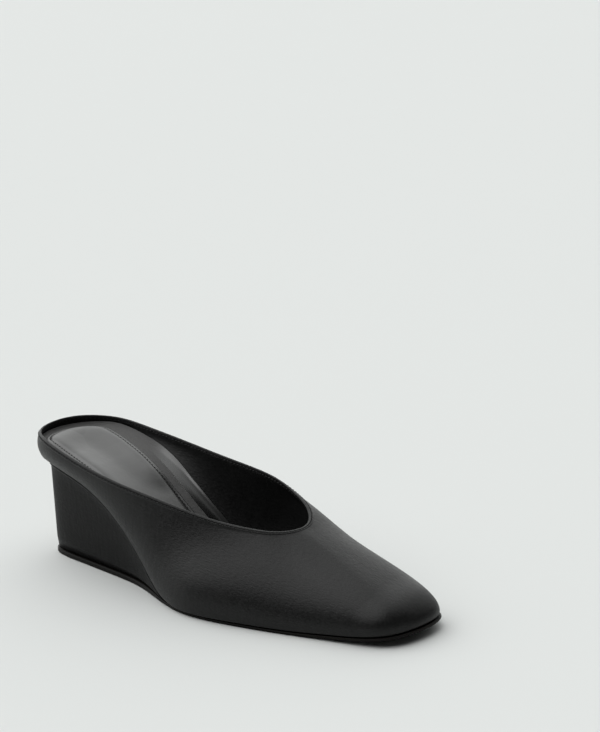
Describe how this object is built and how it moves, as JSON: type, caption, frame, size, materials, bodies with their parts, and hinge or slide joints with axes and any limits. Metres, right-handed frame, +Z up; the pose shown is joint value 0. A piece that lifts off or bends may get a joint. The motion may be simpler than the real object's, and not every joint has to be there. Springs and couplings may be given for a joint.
{
  "type": "wedge mule",
  "caption": "Backless satin wedge mule with a closed vamp, a soft square toe, a low rim round the heel and a padded sock.",
  "frame": {"origin": "on the floor, on the underside of the outsole, under the middle of the heel seat", "axes": "+X towards the toe, +Y towards the wearer's left, the inner side of this right shoe, +Z up"},
  "size_m": [0.2504, 0.0822, 0.0671],
  "materials": {
    "satin": "black satin, soft sheen",
    "wedge_satin": "black satin over the wedge block",
    "outsole": "smooth, dull, brownish black",
    "insole_cloth": "matt dark textile",
    "sock_leather": "soft semi-matt leather, padded"
  },
  "bodies": {
    "root": {"outsole": "outsole", "wedge": "wedge_satin", "upper": "satin", "insole": "insole_cloth", "sock": "sock_leather"}
  },
  "joints": []
}
